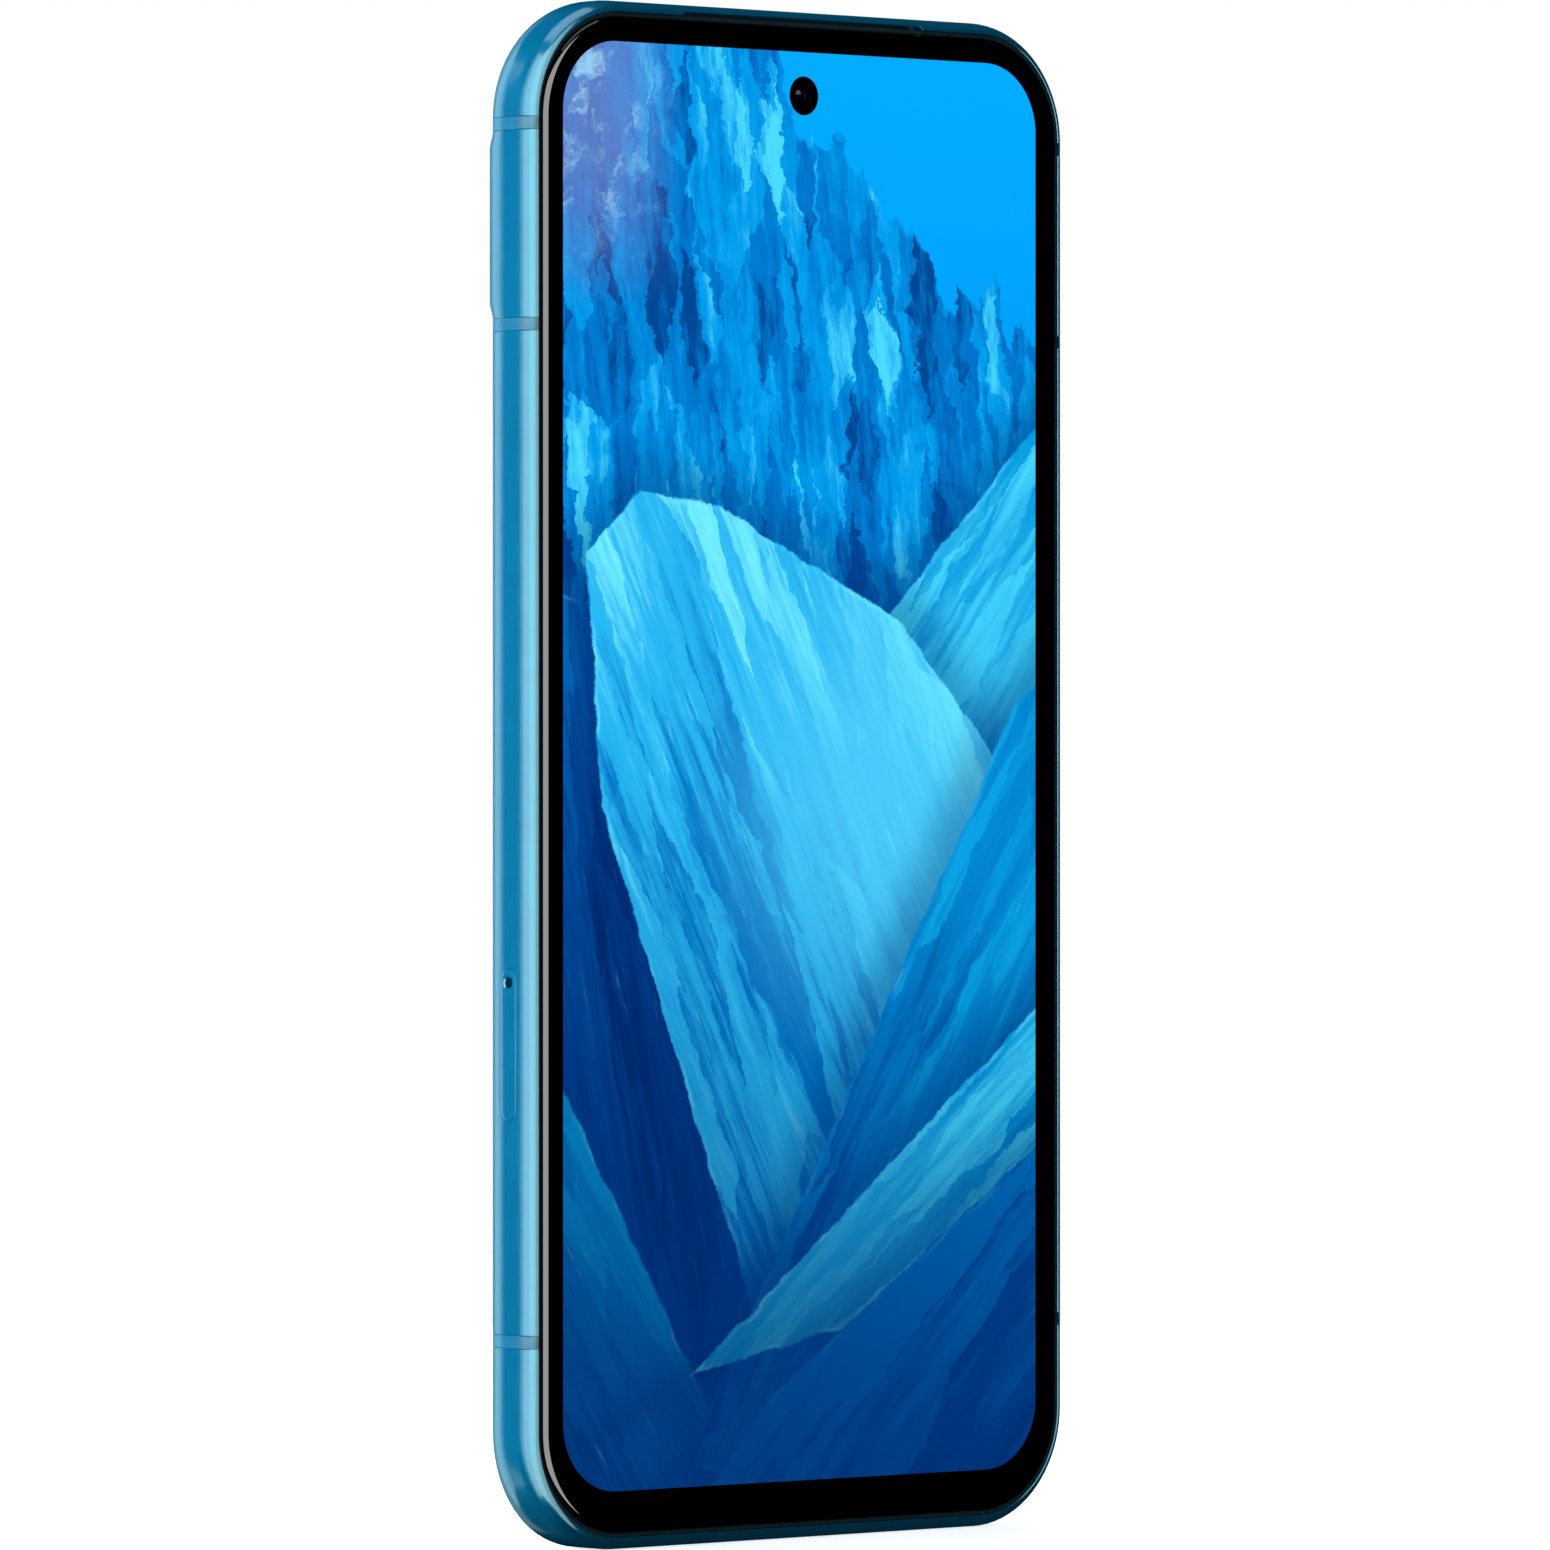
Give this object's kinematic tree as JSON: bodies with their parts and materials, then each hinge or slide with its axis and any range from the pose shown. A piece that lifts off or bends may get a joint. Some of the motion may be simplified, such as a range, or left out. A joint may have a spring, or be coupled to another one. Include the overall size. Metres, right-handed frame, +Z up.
{
  "type": "smartphone",
  "caption": "Slab smartphone with a curved-edge glass screen, a rounded metal frame, a raised camera bar across the back, side keys and a SIM drawer.",
  "frame": {"origin": "middle of the bottom edge, at mid thickness of the body, between the glass face and the flat back", "axes": "+Z up along the phone to its earpiece end, +Y out of the back, -Y out of the screen, +X to the right seen from the screen side, where the keys are"},
  "size_m": [0.0732, 0.0101, 0.1521],
  "materials": {
    "frame_metal": "satin blue anodised, fine bead-blasted grain",
    "break_plastic": "satin moulded plastic, a little darker than the metal",
    "plate_metal": "machined",
    "cover_glass": "polished, black printed border",
    "display": "lit panel showing a plain blue crystal pattern",
    "black_rubber": "matte",
    "flex_film": "amber film",
    "back_plastic": "soft matte blue",
    "window_glass": "polished black glass",
    "black_plastic": "fine moulded texture",
    "steel": "pressed sheet",
    "grille_mesh": "woven wire cloth, dark",
    "led": "phosphor yellow",
    "diffuser": "ribbed lens",
    "circuit_board": "solder mask",
    "gold_contact": "plated",
    "battery_wrap": "laminate pouch",
    "ferrite": "dark sheet",
    "copper": "wound wire, brass stands in for copper"
  },
  "bodies": {
    "phone_body": {"frame": "frame_metal", "antenna_break_left_upper": "break_plastic", "antenna_break_left_middle": "break_plastic", "antenna_break_left_lower": "break_plastic", "antenna_break_right_upper": "break_plastic", "antenna_break_right_middle": "break_plastic", "antenna_break_right_lower": "break_plastic", "mid_plate": "plate_metal", "cover_glass": "cover_glass", "display_panel": "display", "display_seal": "black_rubber", "display_flex": "flex_film", "fingerprint_sensor": "black_plastic", "back_cover": "back_plastic", "back_cover_seal": "black_rubber", "camera_bar": "frame_metal", "camera_window": "window_glass", "main_camera_housing": "steel", "wide_camera_housing": "steel", "wide_camera_lens": "black_plastic", "flash_led": "led", "flash_diffuser": "diffuser", "front_camera_housing": "black_plastic", "front_camera_lens": "window_glass", "button_flex": "flex_film", "sim_reader": "steel", "usb_c_shell": "steel", "usb_c_tongue": "black_plastic", "loudspeaker_module": "black_plastic", "loudspeaker_mesh": "grille_mesh", "microphone_mesh": "grille_mesh", "bottom_microphone": "gold_contact", "top_microphone": "gold_contact", "earpiece_speaker": "black_plastic", "earpiece_mesh": "grille_mesh", "haptic_motor_case": "steel", "main_board": "circuit_board", "front_shield_can": "steel", "rear_shield_can": "steel", "sub_board": "circuit_board", "battery": "battery_wrap", "battery_flex": "flex_film", "main_flex": "flex_film", "coil_shield": "ferrite", "charging_coil": "copper", "board_cover_upper": "black_plastic", "board_cover_lower": "black_plastic", "screw_1": "steel", "screw_2": "steel", "screw_3": "steel", "screw_4": "steel", "screw_5": "steel"},
    "power_key": {"power_button": "frame_metal"},
    "volume_key": {"volume_rocker": "frame_metal"},
    "sim_drawer": {"sim_tray": "frame_metal", "sim_tray_seal": "black_rubber"},
    "eject_rod": {"sim_eject_rod": "steel"},
    "eject_lever": {"sim_eject_lever": "steel"},
    "focus_lens": {"main_camera_lens": "black_plastic"},
    "haptic_mass": {"haptic_motor_mass": "steel"}
  },
  "joints": [
    {"name": "power_button_press", "type": "slide", "parent": "phone_body", "child": "power_key", "axis": [-1, 0, 0], "range_m": [0, 0.00025], "stiffness_N_per_m": 600, "springref_m": -0.0005},
    {"name": "volume_rocker_tilt", "type": "hinge", "parent": "phone_body", "child": "volume_key", "pos_m": [0.0347, -0.00081, 0.085], "axis": [0, 1, 0], "range_deg": [-1.4, 1.4], "stiffness_Nm_per_rad": 0.05},
    {"name": "sim_tray_slide", "type": "slide", "parent": "phone_body", "child": "sim_drawer", "axis": [-1, 0, 0], "range_m": [0, 0.014]},
    {"name": "sim_eject_rod_push", "type": "slide", "parent": "phone_body", "child": "eject_rod", "axis": [1, 0, 0], "range_m": [0, 0.0005]},
    {"name": "sim_eject_lever_turn", "type": "hinge", "parent": "phone_body", "child": "eject_lever", "pos_m": [-0.0178, -0.0008, 0.0514], "axis": [0, 1, 0], "range_deg": [0, 6.7]},
    {"name": "camera_focus", "type": "slide", "parent": "phone_body", "child": "focus_lens", "axis": [0, 1, 0], "range_m": [0, 0.00035], "stiffness_N_per_m": 200},
    {"name": "haptic_shake", "type": "slide", "parent": "phone_body", "child": "haptic_mass", "axis": [1, 0, 0], "range_m": [-0.0003, 0.0003], "stiffness_N_per_m": 600}
  ],
  "couplings": [
    {"joint": "sim_eject_lever_turn", "follows": "sim_eject_rod_push", "rad_per_m": 230.9}
  ]
}
